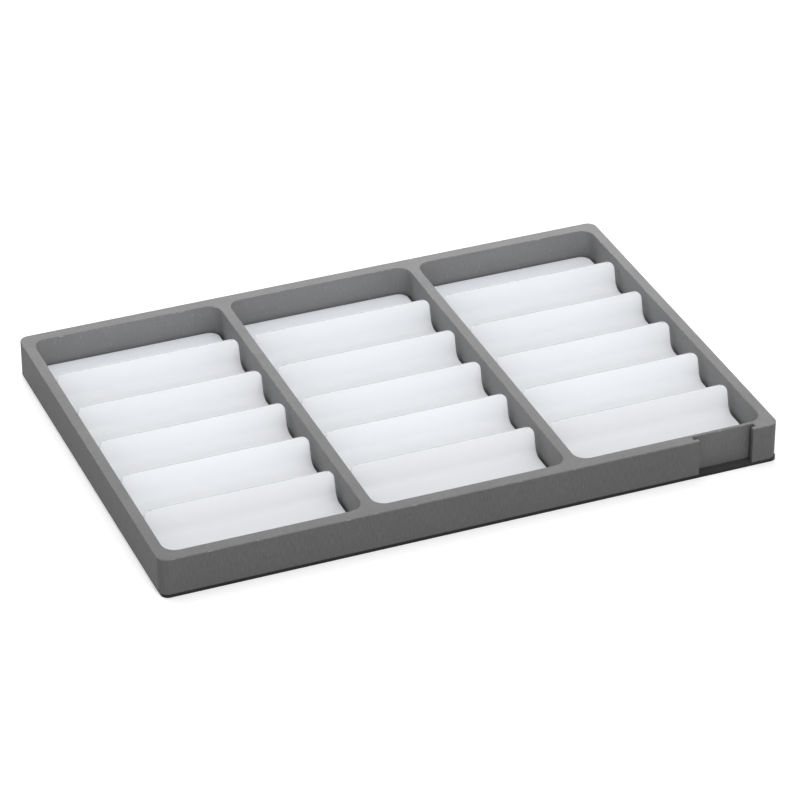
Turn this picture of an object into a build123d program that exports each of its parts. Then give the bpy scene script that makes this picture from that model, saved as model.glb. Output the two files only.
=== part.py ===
"""Jewelry display tray: a frame with three pockets on a thin base plate, and in each pocket a
lift-out insert, which is a board with a row of standing flaps.

Millimetres. +Z is up, -Y is the front with the label slot, +X is to the right.
The origin is at the centre of the underside, where the tray stands.
"""

import os
from math import radians, sqrt, tan

from build123d import *

# Outline of the whole tray
tray_width = 350.0
tray_depth = 240.0
outer_corner_radius = 5.5

# Frame
frame_height = 21.0
side_rim = 6.0
front_rim = 7.5
back_rim = 7.5
divider_width = 6.0
pocket_corner_radius = 7.5
rim_easing = 0.35
pocket_names = ("left", "middle", "right")

# Base plate under the frame
plate_thickness = 2.0
plate_left_inset = 1.1
plate_corner_radius = 4.0

# Label slot in the front wall, a T seen from above: a mouth between two lips, and a wider
# channel behind them
slot_mouth_width = 31.5
slot_mouth_to_right_side = 15.5
slot_depth = 5.4
lip_thickness = 2.6
lip_overhang = 2.4

# Insert: a board with a shallow step, in which the feet of the flaps lie
insert_gap = 1.6
board_thickness = 4.8
flap_count = 5
flap_pitch = 36.5
flap_row_offset = 1.1
flap_sheet = 1.5
flap_lean = 15.0
flap_bend_radius = 5.5
flap_below_rim = 0.5
flap_tip_radius = 4.5
flap_edge_easing = 0.4
foot_gap = 0.4

# Pockets
pocket_count = len(pocket_names)
pocket_width = (tray_width - 2 * side_rim - (pocket_count - 1) * divider_width) / pocket_count
pocket_depth = tray_depth - front_rim - back_rim
pocket_centre_y = (front_rim - back_rim) / 2
pocket_pitch = pocket_width + divider_width

# Levels above the surface that the tray stands on
frame_top = plate_thickness + frame_height
channel_floor = plate_thickness + board_thickness
step_floor = channel_floor - flap_sheet
crest_level = frame_top - flap_below_rim

# Label slot, from the right side and the front face
front_face_y = -tray_depth / 2
slot_centre_x = tray_width / 2 - slot_mouth_to_right_side - slot_mouth_width / 2
slot_channel_width = slot_mouth_width + 2 * lip_overhang
slot_channel_depth = slot_depth - lip_thickness

# Insert outline, which follows the pocket at an even gap
insert_width = pocket_width - 2 * insert_gap
insert_depth = pocket_depth - 2 * insert_gap
insert_corner_radius = pocket_corner_radius - insert_gap
insert_front_y = pocket_centre_y - insert_depth / 2

# Side view of a flap, as distances in front of its crest: the leaning face would meet the
# channel floor at the corner, the bend rounds that corner off, and the back of the bend
# comes up through floor level at the heel
flap_rise = crest_level - channel_floor
corner_forward = flap_rise * tan(radians(flap_lean))
bend_forward = corner_forward + flap_bend_radius * tan(radians(90 - flap_lean) / 2)
heel_forward = bend_forward - sqrt((flap_bend_radius + flap_sheet) ** 2 - flap_bend_radius**2)
first_crest_y = flap_row_offset - (flap_count - 1) / 2 * flap_pitch
last_crest_y = flap_row_offset + (flap_count - 1) / 2 * flap_pitch


def make_frame():
    """One solid block, open from top to bottom at the pockets and at the label slot."""
    with BuildPart() as frame:
        with BuildSketch(Plane.XY.offset(plate_thickness)):
            RectangleRounded(tray_width, tray_depth, outer_corner_radius)
            with Locations((0, pocket_centre_y)):
                with GridLocations(pocket_pitch, pocket_depth, pocket_count, 1):
                    RectangleRounded(
                        pocket_width, pocket_depth, pocket_corner_radius, mode=Mode.SUBTRACT
                    )
            with Locations((slot_centre_x, front_face_y)):
                Rectangle(
                    slot_mouth_width,
                    slot_depth,
                    align=(Align.CENTER, Align.MIN),
                    mode=Mode.SUBTRACT,
                )
            with Locations((slot_centre_x, front_face_y + lip_thickness)):
                Rectangle(
                    slot_channel_width,
                    slot_channel_depth,
                    align=(Align.CENTER, Align.MIN),
                    mode=Mode.SUBTRACT,
                )
        extrude(amount=frame_height)
        fillet(frame.faces().sort_by(Axis.Z)[-1].edges(), radius=rim_easing)
    return frame.part


def make_base_plate():
    """Thin plate, flush with the frame at the front, back and right, set in at the left, with
    sharper corners."""
    with BuildPart() as plate:
        with BuildSketch():
            with Locations((plate_left_inset / 2, 0)):
                RectangleRounded(tray_width - plate_left_inset, tray_depth, plate_corner_radius)
        extrude(amount=plate_thickness)
    return plate.part


def make_board(centre_x):
    """Board of one insert. Its step ends behind the heel of the last flap, where the board
    comes up to the level of the channel floors."""
    land_front_y = last_crest_y - heel_forward + foot_gap
    with BuildPart() as board:
        with BuildSketch(Plane.XY.offset(plate_thickness)):
            with Locations((centre_x, pocket_centre_y)):
                RectangleRounded(insert_width, insert_depth, insert_corner_radius)
        extrude(amount=board_thickness)
        with BuildSketch(Plane.XY.offset(step_floor)):
            with Locations((centre_x, insert_front_y)):
                Rectangle(
                    insert_width,
                    land_front_y - insert_front_y,
                    align=(Align.CENTER, Align.MIN),
                )
        extrude(amount=flap_sheet, mode=Mode.SUBTRACT)
    return board.part


def make_flap(centre_x, crest_y, foot_front_y):
    """One sheet bent into a foot and a leaning leaf with rounded tips, trimmed to the insert."""
    side_view = Plane(origin=(centre_x, crest_y, channel_floor), x_dir=(0, 1, 0), z_dir=(1, 0, 0))
    with BuildPart() as flap:
        with BuildSketch(side_view):
            with BuildLine():
                FilletPolyline(
                    (foot_front_y - crest_y, 0),
                    (-corner_forward, 0),
                    (0, flap_rise),
                    radius=flap_bend_radius,
                )
                offset(amount=flap_sheet, side=Side.RIGHT)
            make_face()
        extrude(amount=insert_width / 2, both=True)
        with BuildSketch(Plane.XY.offset(step_floor)):
            with Locations((centre_x, pocket_centre_y)):
                RectangleRounded(insert_width, insert_depth, insert_corner_radius)
        extrude(amount=crest_level, mode=Mode.INTERSECT)
        crest = flap.faces().sort_by(Axis.Z)[-1]
        fillet(crest.edges().filter_by(Axis.X, reverse=True), radius=flap_tip_radius)
        crest = flap.faces().sort_by(Axis.Z)[-1]
        fillet(crest.edges().filter_by(Axis.X), radius=flap_edge_easing)
    return flap.part


os.makedirs("parts", exist_ok=True)

pieces = {"tray_frame": make_frame(), "base_plate": make_base_plate()}
for pocket_index, pocket_name in enumerate(pocket_names):
    pocket_centre_x = (pocket_index - (pocket_count - 1) / 2) * pocket_pitch
    pieces[f"{pocket_name}_insert_board"] = make_board(pocket_centre_x)
    # The first foot starts at the front of the insert, the others behind the heel before them
    foot_front_y = insert_front_y
    for flap_index in range(flap_count):
        crest_y = first_crest_y + flap_index * flap_pitch
        flap = make_flap(pocket_centre_x, crest_y, foot_front_y)
        pieces[f"{pocket_name}_flap_{flap_index + 1}"] = flap
        foot_front_y = crest_y - heel_forward + foot_gap

for piece_name, piece in pieces.items():
    piece.label = piece_name
    export_step(piece, f"parts/{piece_name}.step")
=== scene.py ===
"""Jewelry display tray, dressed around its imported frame.

Metres, +Z up, -Y towards the wall with the label slot. The frame, the plate and the insert
boards keep their solids and get their finishes here. Each flap is built again as a bent sheet
with softly wrapped edges. Then come the studio and the camera.
"""

from math import cos, pi, radians, sin, tan

import bpy
from mathutils import Matrix, Vector


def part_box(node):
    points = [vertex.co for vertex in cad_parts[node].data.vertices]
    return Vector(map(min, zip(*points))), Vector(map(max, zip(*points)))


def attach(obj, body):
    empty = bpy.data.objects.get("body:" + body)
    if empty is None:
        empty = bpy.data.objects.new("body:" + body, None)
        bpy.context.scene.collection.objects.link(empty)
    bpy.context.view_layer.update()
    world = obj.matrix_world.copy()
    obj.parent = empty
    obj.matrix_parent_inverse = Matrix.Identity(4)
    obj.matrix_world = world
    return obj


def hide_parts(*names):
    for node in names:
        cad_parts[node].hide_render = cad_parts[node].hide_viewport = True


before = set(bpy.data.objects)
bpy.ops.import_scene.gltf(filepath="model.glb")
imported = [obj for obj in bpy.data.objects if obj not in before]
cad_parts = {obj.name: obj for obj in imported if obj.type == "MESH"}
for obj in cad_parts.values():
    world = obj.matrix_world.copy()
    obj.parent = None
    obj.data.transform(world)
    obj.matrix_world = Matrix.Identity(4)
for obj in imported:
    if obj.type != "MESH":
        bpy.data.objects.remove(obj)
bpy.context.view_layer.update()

# Flap sheet, as a side view: a leaf that leans back, a bend and a flat foot
flap_sheet = 0.0015
flap_lean = radians(15.0)
flap_bend_radius = 0.0055
flap_tip_radius = 0.0045
flap_edge_rounding = 0.0004
flap_edge_segments = 3
sharp_edge_angle = radians(50.0)
foot_corner_radius = 0.0059

# Unevenness of the crests: its size, its waves across a sheet, and what tells the sheets apart
flap_unevenness = 0.00022
ripple_scale = 1.7
pocket_seed_step = 10.0
flap_seed_step = 1.7

# How far from the crest and from the end of the foot the inner rows keep an even step
tip_reach = 0.006
foot_end_reach = 0.0036

# Rows and columns of a flap's mesh, and how far out its outermost columns start
tip_rows = 8
leaf_rows = 10
bend_rows = 12
foot_rows = 6
corner_rows = 6
flap_columns = 60
border_start = 0.99

pocket_names = ("left", "middle", "right")
flap_count = 5

# Frame: rounding of its outer corners, how deep the sawn finish of its outer walls goes, and
# the label slot, which is sawn too
outer_corner_radius = 0.0055
sawn_skin = 0.0004
slot_to_right_side = 0.03125
slot_half_width = 0.0185
slot_depth = 0.0060
slot_sawn_share = 0.85

# Colours, as linear light
# Pocket walls and dividers: a lighter grey than the rest of the board, painted light standing in
# for light inside the shaded pockets
inner_wall_grey_painted_light = (0.185, 0.185, 0.186)
# Top of the frame: a darker grey than its walls, painted shade that makes up for the gloss it
# catches
top_grey_painted_shade = (0.056, 0.056, 0.057)
sawn_grey = (0.084, 0.084, 0.084)
plate_black = (0.046, 0.046, 0.047)
flap_white = (0.770, 0.783, 0.804)
# The boards' white is lighter than the flaps': painted light against the shade on the strips
# behind the last flaps
board_white_painted_light = (0.850, 0.872, 0.915)
floor_white = (0.78, 0.78, 0.78)

# Grey board: how closely its marks repeat. Fibres and flecks are drawn out upwards
fibre_scale = 1900.0
fibre_stretch = (1.0, 1.0, 0.11)
fibre_coarseness = 0.6
board_grain_scale = 2600.0
board_cloud_scale = 45.0
mottle_scale = 420.0
pit_scale = 620.0
fleck_scale = 760.0
fleck_stretch = (1.0, 1.0, 0.45)

# Grey board: the noise level at which a mark starts, and how much further it takes to be full
pit_onset = (0.70, 0.11)
fleck_onset = (0.67, 0.10)
chip_onset = (0.60, 0.12)

# Grey board: how strongly its marks lighten or darken it
wall_fibre_contrast = 0.2
sawn_fibre_contrast = 0.55
board_grain_contrast = 0.16
board_cloud_contrast = 0.12
mottle_contrast = 0.45
fleck_lightening = 0.22
pit_darkening = 0.15
# Painted highlight on the rounded edges of the board, besides their chips
edge_painted_highlight = 0.20
chip_lightening = 2.0

# Grey board: its top is smoother and glossier than its walls. A relief is a height and a strength
wall_roughness = 0.60
top_roughness = 0.39
board_roughness_grain = 0.2
wall_gloss = 0.2
top_gloss = 0.5
top_gloss_clouds = 0.25
grain_height = 0.4
pit_depth = 0.5
board_relief = (0.00012, 0.5)

# Black plate: its cut edges get painted shade, keeping only a share of its face's brightness
plate_grain_scale = 1500.0
plate_cloud_scale = 35.0
plate_edge_painted_shade_share = 0.30
plate_grain_contrast = 0.35
plate_cloud_contrast = 0.25
plate_roughness = 0.55
plate_roughness_grain = 0.2
plate_gloss = 0.15
plate_relief = (0.00006, 0.5)

# White covering of the inserts: how far a crest faces up where its painted shade starts, and how
# much further it takes to be full
crest_shade_onset = (0.80, 0.15)
crest_painted_shade = 0.36
cover_grain_scale = 1400.0
cover_cloud_scale = 26.0
cover_grain_contrast = 0.02
cover_cloud_contrast = 0.03
cover_roughness = 0.62
cover_roughness_grain = 0.12
cover_roughness_clouds = 0.1
cover_gloss = 0.1
cover_sheen = 0.03
cover_sheen_roughness = 0.4
cover_relief = (0.00005, 0.35)

# Studio: the floor is open under the plate, a little inside its edge
floor_half = 6.0
floor_level = -0.0001
floor_cover = 0.0015
floor_glow = 0.35
ambient = 0.50

# Softboxes: place, width, height and power
softboxes = {
    "front_softbox": ((0.2, -1.4, 1.1), 1.0, 1.0, 10.3),
    "low_front_softbox": ((-0.2, -1.8, 0.6), 1.0, 1.0, 10.4),
    "top_softbox": ((0.0, 0.35, 1.65), 0.8, 0.8, 6.6),
    "back_left_softbox": ((-0.7, 1.2, 1.0), 1.0, 1.0, 11.8),
    "low_back_softbox": ((0.75, 1.5, 0.55), 1.6, 0.6, 15.0),
}

# Camera, from the corners of the tray in the picture
camera_place = Vector((-0.6701, -1.6631, 1.1149))
camera_turn = radians(22.09)
camera_down = radians(31.64)
camera_roll = radians(-0.077)
camera_lens = 173.6
camera_sensor = 36.0
camera_reach = 50.0


class Field:
    """A value in a node tree, so that a rule for a shape or a finish reads as a formula."""

    def __init__(self, tree, socket):
        self.tree = tree
        self.socket = socket

    def math(self, operation, *others, clamp=False):
        node = self.tree.nodes.new("ShaderNodeMath")
        node.operation = operation
        node.use_clamp = clamp
        for socket, value in zip(node.inputs, (self, *others)):
            feed(self.tree, socket, value)
        return Field(self.tree, node.outputs[0])

    def __add__(self, other):
        return self.math("ADD", other)

    def __sub__(self, other):
        return self.math("SUBTRACT", other)

    def __mul__(self, other):
        return self.math("MULTIPLY", other)

    def __truediv__(self, other):
        return self.math("DIVIDE", other)

    def __rsub__(self, other):
        return (self * -1.0) + other

    __radd__ = __add__

    def sine(self):
        return self.math("SINE")

    def cosine(self):
        return self.math("COSINE")

    def share(self, start, length):
        """How far this value has come through a stretch, from 0 to 1."""
        return (self - start).math("DIVIDE", length, clamp=True)


def feed(tree, socket, value):
    """Links a field to a socket, or sets a plain value on it."""
    if isinstance(value, Field):
        tree.links.new(value.socket, socket)
    else:
        socket.default_value = value


def add_node(tree, kind, settings=(), **inputs):
    """A new node with its settings, and its inputs by name, where _ stands for a space."""
    node = tree.nodes.new(kind)
    for name, value in dict(settings).items():
        setattr(node, name, value)
    for name, value in inputs.items():
        feed(tree, node.inputs[name.replace("_", " ")], value)
    return node


def split_vector(tree, vector):
    """The three coordinates of a vector field."""
    node = add_node(tree, "ShaderNodeSeparateXYZ", Vector=vector)
    return [Field(tree, output) for output in node.outputs]


def join_vector(tree, x, y, z):
    """A vector field from three coordinates."""
    node = add_node(tree, "ShaderNodeCombineXYZ", X=x, Y=y, Z=z)
    return Field(tree, node.outputs["Vector"])


def bent_sheet_tree():
    """Front skin of one flap, from its crest down the leaf, round the bend and along the foot."""
    tree = bpy.data.node_groups.new("bent_flap_sheet", "GeometryNodeTree")
    tree.is_modifier = True
    tree.interface.new_socket("Geometry", in_out="OUTPUT", socket_type="NodeSocketGeometry")
    number_names = (
        "Width", "Lean", "Bend Radius", "Tip Radius", "Corner Radius",
        "Leaf Length", "Foot Length", "Unevenness", "Seed",
    )
    for name in number_names:
        tree.interface.new_socket(name, in_out="INPUT", socket_type="NodeSocketFloat")
    tree.interface.new_socket("Crest", in_out="INPUT", socket_type="NodeSocketVector")
    tree.interface.new_socket("Finish", in_out="INPUT", socket_type="NodeSocketMaterial")
    given = {socket.name: Field(tree, socket)
             for socket in tree.nodes.new("NodeGroupInput").outputs if socket.name}
    lean = given["Lean"]
    bend_radius = given["Bend Radius"]
    tip_radius = given["Tip Radius"]
    corner_radius = given["Corner Radius"]

    rows = tip_rows + leaf_rows + bend_rows + foot_rows + corner_rows
    grid = add_node(tree, "GeometryNodeMeshGrid", Size_X=2.0, Size_Y=float(rows),
                    Vertices_X=flap_columns + 1, Vertices_Y=rows + 1)
    place = Field(tree, tree.nodes.new("GeometryNodeInputPosition").outputs[0])
    across, along, _ = split_vector(tree, place)
    row = rows / 2 - along

    # The outermost columns follow the round tips and corners. The rows between them keep an
    # even step, wide enough for the rounding of the edges
    border = across.math("ABSOLUTE").math("GREATER_THAN", border_start)
    round_corner = border * corner_radius.math("GREATER_THAN", 0.0)
    quarter_turn = pi / 2
    tip_share = row.share(0.0, tip_rows)
    tip_turn = tip_share * quarter_turn
    leaf_share = row.share(tip_rows, leaf_rows)
    bend_share = row.share(tip_rows + leaf_rows, bend_rows)
    foot_share = row.share(tip_rows + leaf_rows + bend_rows, foot_rows)
    corner_share = row.share(rows - corner_rows, corner_rows)
    corner_turn = corner_share * quarter_turn

    down_border = (tip_radius * (1.0 - tip_turn.cosine())
                   + leaf_share * (given["Leaf Length"] - tip_radius))
    down_inner = tip_share * tip_reach + leaf_share * (given["Leaf Length"] - tip_reach)
    down_leaf = border * down_border + (1.0 - border) * down_inner
    inset = tip_radius * (1.0 - tip_turn.sine()) + corner_radius * (1.0 - corner_turn.cosine())
    foot_round = (foot_share * (given["Foot Length"] - corner_radius)
                  + corner_radius * corner_turn.sine())
    foot_even = (foot_share * (given["Foot Length"] - foot_end_reach)
                 + corner_share * foot_end_reach)
    along_foot = round_corner * foot_round + (1.0 - round_corner) * foot_even
    angle = lean + bend_share * (quarter_turn - lean)

    ripple = add_node(tree, "ShaderNodeTexNoise", {"noise_dimensions": "2D"},
                      Vector=join_vector(tree, across, given["Seed"], 0.0),
                      Scale=ripple_scale, Detail=1.0)
    push = (Field(tree, ripple.outputs[0]) - 0.5) * given["Unevenness"] * 2.0 * (1.0 - leaf_share)

    crest_x, crest_y, crest_z = split_vector(tree, given["Crest"])
    x = crest_x + across * (given["Width"] / 2.0 - inset)
    y = (crest_y - lean.sine() * down_leaf - along_foot + push
         - bend_radius * (lean.cosine() - angle.cosine()))
    z = crest_z - lean.cosine() * down_leaf - bend_radius * (angle.sine() - lean.sine())

    bent = add_node(tree, "GeometryNodeSetPosition", Position=join_vector(tree, x, y, z),
                    Geometry=Field(tree, grid.outputs["Mesh"]))
    smooth = add_node(tree, "GeometryNodeSetShadeSmooth",
                      Geometry=Field(tree, bent.outputs["Geometry"]))
    real = add_node(tree, "GeometryNodeRealizeInstances",
                    Geometry=Field(tree, smooth.outputs["Geometry"]))
    finished = add_node(tree, "GeometryNodeSetMaterial", Material=given["Finish"],
                        Geometry=Field(tree, real.outputs["Geometry"]))
    output = tree.nodes.new("NodeGroupOutput")
    tree.links.new(finished.outputs["Geometry"], output.inputs["Geometry"])
    return tree


def set_inputs(modifier, **values):
    """Sets a Geometry Nodes modifier's inputs by their names, where _ stands for a space."""
    for item in modifier.node_group.interface.items_tree:
        name = item.name.replace(" ", "_")
        if name in values:
            modifier[item.identifier] = values[name]


def make_plain(piece):
    """Turns a piece's modifiers into a plain mesh."""
    evaluated = piece.evaluated_get(bpy.context.evaluated_depsgraph_get())
    mesh = bpy.data.meshes.new_from_object(evaluated)
    piece.modifiers.clear()
    piece.data = mesh
    mesh.name = piece.name


def make_flap(tree, pocket_name, flap_number, finish):
    """One flap, in the space of its solid: the crest and the foot's end come from its box."""
    node = f"{pocket_name}_flap_{flap_number}"
    low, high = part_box(node)
    # What the rounding of its edges takes off the leaning crest, in height and in depth
    rounded_off = flap_edge_rounding * (cos(flap_lean) + sin(flap_lean) - 1.0)
    crest_y = high.y + rounded_off - flap_sheet * cos(flap_lean)
    crest_z = high.z + rounded_off
    leaf_rise = crest_z - low.z - flap_sheet
    corner_y = crest_y - leaf_rise * tan(flap_lean)
    bend_reach = flap_bend_radius * tan((pi / 2 - flap_lean) / 2)
    name = f"{node}_sheet"
    piece = bpy.data.objects.new(name, bpy.data.meshes.new(name))
    bpy.context.scene.collection.objects.link(piece)
    bend = piece.modifiers.new("bend", "NODES")
    bend.node_group = tree
    set_inputs(
        bend,
        Width=high.x - low.x,
        Lean=flap_lean,
        Bend_Radius=flap_bend_radius,
        Tip_Radius=flap_tip_radius,
        Corner_Radius=foot_corner_radius if flap_number == 1 else 0.0,
        Leaf_Length=leaf_rise / cos(flap_lean) - bend_reach,
        Foot_Length=corner_y - low.y - bend_reach,
        Unevenness=flap_unevenness,
        Seed=pocket_seed_step * pocket_names.index(pocket_name) + flap_seed_step * flap_number,
        Crest=Vector(((low.x + high.x) / 2, crest_y, crest_z)),
        Finish=finish,
    )
    thickness = piece.modifiers.new("thickness", "SOLIDIFY")
    thickness.thickness = flap_sheet
    thickness.offset = -1.0
    wrap = piece.modifiers.new("wrapped_edges", "BEVEL")
    wrap.width = flap_edge_rounding
    wrap.segments = flap_edge_segments
    wrap.limit_method = "ANGLE"
    wrap.angle_limit = sharp_edge_angle
    wrap.harden_normals = True
    make_plain(piece)
    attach(piece, f"{pocket_name}_insert")
    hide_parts(node)


def new_finish(name):
    """A new material with a plain shader: returns the material, its tree and its shader."""
    material = bpy.data.materials.new(name)
    material.use_nodes = True
    shader = material.node_tree.nodes["Principled BSDF"]
    return material, material.node_tree, shader


def object_place(tree):
    """The object's own coordinates."""
    coordinates = tree.nodes.new("ShaderNodeTexCoord")
    return Field(tree, coordinates.outputs["Object"])


def facing_up(tree):
    """1 where the surface faces up, 0 on a wall and -1 where it faces down."""
    geometry = tree.nodes.new("ShaderNodeNewGeometry")
    _, _, upward = split_vector(tree, Field(tree, geometry.outputs["Normal"]))
    return upward


def noise(tree, scale, detail, stretch=(1.0, 1.0, 1.0), roughness=0.5):
    """Noise over the object's own coordinates, from 0 to 1 with its middle at 0.5."""
    mapping = add_node(tree, "ShaderNodeMapping", Scale=stretch, Vector=object_place(tree))
    texture = add_node(tree, "ShaderNodeTexNoise", Scale=scale, Detail=detail, Roughness=roughness,
                       Vector=Field(tree, mapping.outputs["Vector"]))
    return Field(tree, texture.outputs["Fac"])


def mix_colours(tree, share, first, second, blend="MIX"):
    """A colour between two, which are plain colours or fields."""
    node = add_node(tree, "ShaderNodeMix",
                    {"data_type": "RGBA", "blend_type": blend, "clamp_result": True})
    feed(tree, node.inputs[0], share)
    for socket, colour in ((node.inputs[6], first), (node.inputs[7], second)):
        feed(tree, socket, colour if isinstance(colour, Field) else (*colour, 1.0))
    return Field(tree, node.outputs[2])


def tint(tree, colour, amount):
    """A colour made lighter or darker by a field that is 1 where it stays as it is."""
    return mix_colours(tree, 1.0, colour, join_vector(tree, amount, amount, amount), "MULTIPLY")


def bump(tree, shader, height, distance, strength):
    """Fine relief in the shading: the height field times the distance."""
    node = add_node(tree, "ShaderNodeBump", Height=height, Distance=distance, Strength=strength)
    tree.links.new(node.outputs["Normal"], shader.inputs["Normal"])


def near_outline(tree, low, high, corner_radius, skin):
    """1 on the outer walls of an upright block with rounded corners, and 0 further in."""
    x, y, _ = split_vector(tree, object_place(tree))
    past_x = (x - (low.x + high.x) / 2).math("ABSOLUTE") - ((high.x - low.x) / 2 - corner_radius)
    past_y = (y - (low.y + high.y) / 2).math("ABSOLUTE") - ((high.y - low.y) / 2 - corner_radius)
    past_x = past_x.math("MAXIMUM", 0.0)
    past_y = past_y.math("MAXIMUM", 0.0)
    reach = (past_x * past_x + past_y * past_y).math("SQRT")
    return reach.share(corner_radius - skin, skin / 2)


def in_slot(tree, low, high):
    """1 on the walls of the label slot, and 0 elsewhere."""
    x, y, _ = split_vector(tree, object_place(tree))
    beside = (x - (high.x - slot_to_right_side)).math("ABSOLUTE")
    return (beside.math("LESS_THAN", slot_half_width)
            * y.math("LESS_THAN", low.y + slot_depth))


def grey_board_finish():
    """Through-coloured fibreboard: dark sawn fibres on the outer walls and in the label slot,
    finer inside, where painted light makes the walls lighter against the shade of the pockets; a
    satin top, darkened by painted shade, with faint mottles; and edges with a painted highlight
    and a few chips."""
    material, tree, shader = new_finish("grey_board")
    top = facing_up(tree).math("MAXIMUM", 0.0)
    wall = 1.0 - top
    low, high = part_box("tray_frame")
    skin = near_outline(tree, low, high, outer_corner_radius, sawn_skin)
    slot = in_slot(tree, low, high) * slot_sawn_share
    sawn = skin.math("MAXIMUM", slot) * wall
    # Top times wall is a quarter at most, where the rounding of an edge faces halfway up
    rounded_edge = top * wall * 4.0
    fibres = noise(tree, fibre_scale, 3.0, fibre_stretch, fibre_coarseness) - 0.5
    grain = noise(tree, board_grain_scale, 2.0) - 0.5
    clouds = noise(tree, board_cloud_scale, 3.0) - 0.5
    pits = noise(tree, pit_scale, 1.0).share(*pit_onset)
    flecks = noise(tree, fleck_scale, 1.0, fleck_stretch).share(*fleck_onset) * wall
    mottles = noise(tree, mottle_scale, 2.0)
    chips = mottles.share(*chip_onset)
    # The rounded edges get a painted highlight; the chips on them are wear
    amount = (1.0
              + fibres * (wall * wall_fibre_contrast + sawn * sawn_fibre_contrast)
              + grain * board_grain_contrast
              + clouds * board_cloud_contrast
              + flecks * fleck_lightening
              - pits * pit_darkening
              + rounded_edge * (edge_painted_highlight + chips * chip_lightening)
              + (mottles - 0.5) * top * mottle_contrast)
    # The board in three greys: painted light on the pocket walls, painted shade on the top, and
    # the darker sawn outer walls
    grey = mix_colours(tree, sawn, mix_colours(tree, top, inner_wall_grey_painted_light, top_grey_painted_shade), sawn_grey)
    feed(tree, shader.inputs["Base Color"], tint(tree, grey, amount))
    roughness = (top_roughness + grain * board_roughness_grain
                 + wall * (wall_roughness - top_roughness))
    feed(tree, shader.inputs["Roughness"], roughness)
    gloss = wall_gloss + top * (top_gloss - wall_gloss + clouds * top_gloss_clouds)
    feed(tree, shader.inputs["Specular IOR Level"], gloss)
    relief = fibres * wall + grain * grain_height - pits * pit_depth
    bump(tree, shader, relief, *board_relief)
    return material


def black_plate_finish():
    """Thin black laminate: matt face with a fine grain, and cut edges darkened by painted shade.
    """
    material, tree, shader = new_finish("black_plate")
    face = facing_up(tree).math("ABSOLUTE")
    grain = noise(tree, plate_grain_scale, 2.0) - 0.5
    clouds = noise(tree, plate_cloud_scale, 2.0) - 0.5
    # Painted shade on the upright cut edges: they keep only a share of the face's brightness
    amount = (plate_edge_painted_shade_share + face * (1.0 - plate_edge_painted_shade_share)
              + grain * plate_grain_contrast + clouds * plate_cloud_contrast)
    feed(tree, shader.inputs["Base Color"], tint(tree, plate_black, amount))
    feed(tree, shader.inputs["Roughness"], plate_roughness + grain * plate_roughness_grain)
    shader.inputs["Specular IOR Level"].default_value = plate_gloss
    bump(tree, shader, grain, *plate_relief)
    return material


def white_cover_finish(name, white):
    """Smooth white covering with a faint grain and a soft sheen, with painted shade along the top
    of the crest of each flap."""
    material, tree, shader = new_finish(name)
    crest_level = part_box("left_flap_1")[1].z
    _, _, height = split_vector(tree, object_place(tree))
    near_crest = height.share(crest_level - flap_sheet, flap_sheet / 2)
    # Painted shade along the top of each flap's crest
    crest = facing_up(tree).share(*crest_shade_onset) * near_crest
    grain = noise(tree, cover_grain_scale, 2.0) - 0.5
    clouds = noise(tree, cover_cloud_scale, 2.0) - 0.5
    amount = (1.0 + grain * cover_grain_contrast + clouds * cover_cloud_contrast
              - crest * crest_painted_shade)
    feed(tree, shader.inputs["Base Color"], tint(tree, white, amount))
    roughness = cover_roughness + grain * cover_roughness_grain + clouds * cover_roughness_clouds
    feed(tree, shader.inputs["Roughness"], roughness)
    shader.inputs["Specular IOR Level"].default_value = cover_gloss
    shader.inputs["Sheen Weight"].default_value = cover_sheen
    shader.inputs["Sheen Roughness"].default_value = cover_sheen_roughness
    bump(tree, shader, grain, *cover_relief)
    return material


def set_finish(node, material):
    """Gives a solid that stays its finish."""
    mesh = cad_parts[node].data
    mesh.materials.clear()
    mesh.materials.append(material)


def shows_in(tree):
    """1 for rays that show the background: seen by the camera, in gloss or through glass."""
    path = tree.nodes.new("ShaderNodeLightPath")
    seen, gloss, through = (
        Field(tree, path.outputs[name])
        for name in ("Is Camera Ray", "Is Glossy Ray", "Is Transmission Ray")
    )
    return (seen + gloss).math("ADD", through, clamp=True)


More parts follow.
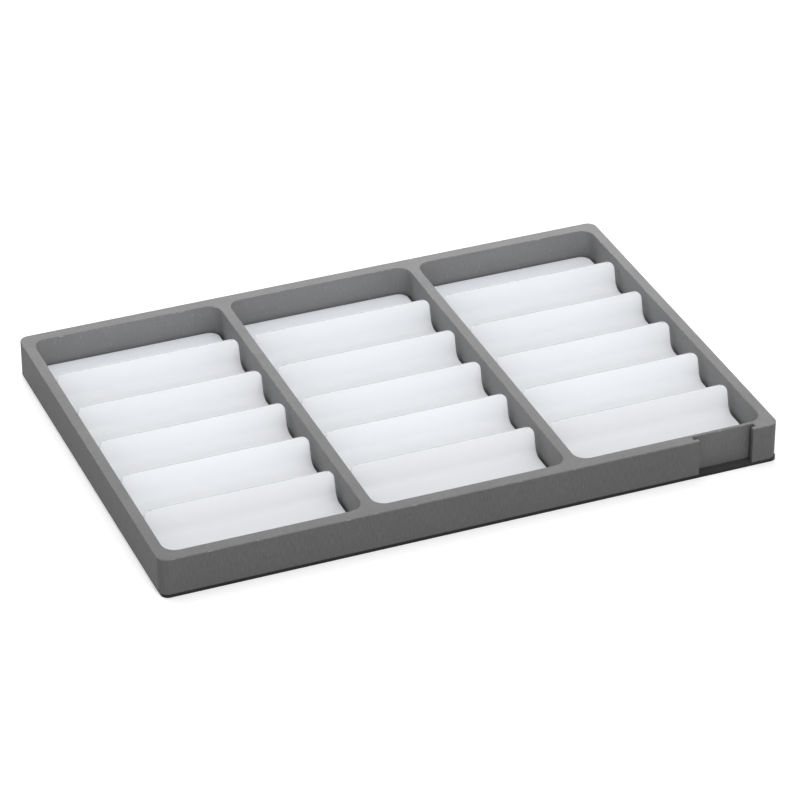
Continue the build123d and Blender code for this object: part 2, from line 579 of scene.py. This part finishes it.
def make_floor():
    """A wide pale floor that shows white and keeps the tray's soft shadow. It is open under the
    base plate, so that the underside shows from below."""
    low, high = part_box("base_plate")
    cover = Vector((floor_cover, floor_cover, 0.0))
    outside = (Vector((-floor_half, -floor_half)), Vector((floor_half, floor_half)))
    opening = (low + cover, high - cover)
    points = []
    for near, far in (outside, opening):
        points += [(near.x, near.y, floor_level), (far.x, near.y, floor_level),
                   (far.x, far.y, floor_level), (near.x, far.y, floor_level)]
    mesh = bpy.data.meshes.new("studio_floor")
    mesh.from_pydata(points, [], [(0, 1, 5, 4), (1, 2, 6, 5), (2, 3, 7, 6), (3, 0, 4, 7)])
    floor = bpy.data.objects.new("studio_floor", mesh)
    bpy.context.scene.collection.objects.link(floor)
    material, tree, shader = new_finish("studio_floor")
    shader.inputs["Base Color"].default_value = (*floor_white, 1.0)
    shader.inputs["Roughness"].default_value = 1.0
    shader.inputs["Specular IOR Level"].default_value = 0.0
    shader.inputs["Emission Color"].default_value = (1.0, 1.0, 1.0, 1.0)
    feed(tree, shader.inputs["Emission Strength"], shows_in(tree) * floor_glow)
    mesh.materials.append(material)


def make_surroundings():
    """Even pale light from all sides, which shows as white behind the tray."""
    world = bpy.data.worlds.new("studio")
    world.use_nodes = True
    tree = world.node_tree
    background = tree.nodes["Background"]
    background.inputs["Color"].default_value = (1.0, 1.0, 1.0, 1.0)
    feed(tree, background.inputs["Strength"], ambient + shows_in(tree) * (1.0 - ambient))
    bpy.context.scene.world = world


def add_softbox(name, place, width, height, power):
    """A large lamp that faces the tray."""
    lamp = bpy.data.lights.new(name, "AREA")
    lamp.shape = "RECTANGLE"
    lamp.size = width
    lamp.size_y = height
    lamp.energy = power
    softbox = bpy.data.objects.new(name, lamp)
    softbox.location = place
    softbox.visible_camera = False
    softbox.rotation_euler = (-Vector(place)).to_track_quat("-Z", "Y").to_euler()
    bpy.context.scene.collection.objects.link(softbox)


def make_camera():
    """The camera that took the picture."""
    camera = bpy.data.objects.new("camera", bpy.data.cameras.new("camera"))
    camera.data.sensor_width = camera_sensor
    camera.data.lens = camera_lens
    camera.data.clip_end = camera_reach
    aim = (Matrix.Rotation(-camera_turn, 4, "Z") @ Matrix.Rotation(pi / 2 - camera_down, 4, "X")
           @ Matrix.Rotation(camera_roll, 4, "Z"))
    camera.matrix_world = Matrix.Translation(camera_place) @ aim
    bpy.context.scene.collection.objects.link(camera)
    bpy.context.scene.camera = camera


grey_board = grey_board_finish()
black_plate = black_plate_finish()
flap_cover = white_cover_finish("flap_cover", flap_white)
# The boards' covering carries painted light: a lighter white than the flaps' covering
board_cover = white_cover_finish("board_cover", board_white_painted_light)
set_finish("tray_frame", grey_board)
set_finish("base_plate", black_plate)
sheet_tree = bent_sheet_tree()
for pocket_name in pocket_names:
    set_finish(f"{pocket_name}_insert_board", board_cover)
    for flap_number in range(1, flap_count + 1):
        make_flap(sheet_tree, pocket_name, flap_number, flap_cover)

make_floor()
make_surroundings()
for name, (place, width, height, power) in softboxes.items():
    add_softbox(name, place, width, height, power)
bpy.context.scene.view_settings.view_transform = "Standard"
make_camera()
